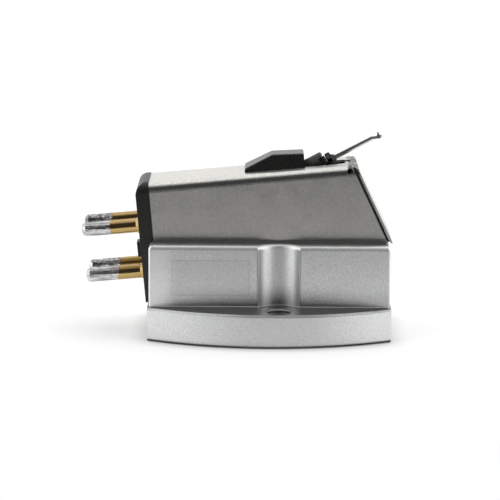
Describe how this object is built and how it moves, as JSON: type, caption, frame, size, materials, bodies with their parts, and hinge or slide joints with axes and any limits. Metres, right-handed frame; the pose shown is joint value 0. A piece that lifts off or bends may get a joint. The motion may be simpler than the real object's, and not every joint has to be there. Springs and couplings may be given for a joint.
{
  "type": "moving-coil phono cartridge",
  "caption": "Moving-coil phono cartridge: bead-blasted block with bowed mounting flange, folded steel cover, gold signal pins and a sprung cantilever with stylus.",
  "frame": {"origin": "midway between the two mounting screw holes, on the mounting face", "axes": "+X to the stylus end, +Z away from the headshell, the part standing on its mounting face"},
  "size_m": [0.0274, 0.016, 0.0179],
  "materials": {
    "block": "bead-blasted satin",
    "cover": "satin sheet",
    "plate": "moulded black",
    "pin": "gold plated, tinned ends",
    "carrier": "moulded black",
    "magnet": "ground",
    "yoke": "nickel plated",
    "pole": "blackened",
    "steel_wire": "drawn",
    "screw": "machined",
    "damper": "matte",
    "former": "lacquered",
    "winding": "enamelled copper wire",
    "cantilever": "drawn tube",
    "diamond": "polished",
    "lead": "enamelled copper wire"
  },
  "bodies": {
    "body": {"mounting_block": "block", "housing_cover": "cover", "terminal_plate": "plate", "pin_left_live": "pin", "pin_left_ground": "pin", "pin_right_live": "pin", "pin_right_ground": "pin", "generator_carrier": "carrier", "magnet": "magnet", "yoke": "yoke", "pole_piece": "pole", "suspension_wire": "steel_wire", "set_screw": "screw", "lead_left_live": "lead", "lead_left_ground": "lead", "lead_right_live": "lead", "lead_right_ground": "lead"},
    "suspension": {"damper_ring": "damper"},
    "moving_system": {"armature": "former", "coil_left": "winding", "coil_right": "winding", "cantilever": "cantilever", "stylus": "diamond"}
  },
  "joints": [
    {"name": "cantilever_vertical", "type": "hinge", "parent": "body", "child": "suspension", "pos_m": [0.00398, 0, 0.01501], "axis": [0, 1, 0], "range_deg": [-2, 6], "stiffness_Nm_per_rad": 0.0025},
    {"name": "cantilever_lateral", "type": "hinge", "parent": "suspension", "child": "moving_system", "pos_m": [0.00398, 0, 0.01501], "axis": [-0.471, 0, 0.8821], "range_deg": [-4, 4], "stiffness_Nm_per_rad": 0.0025}
  ]
}
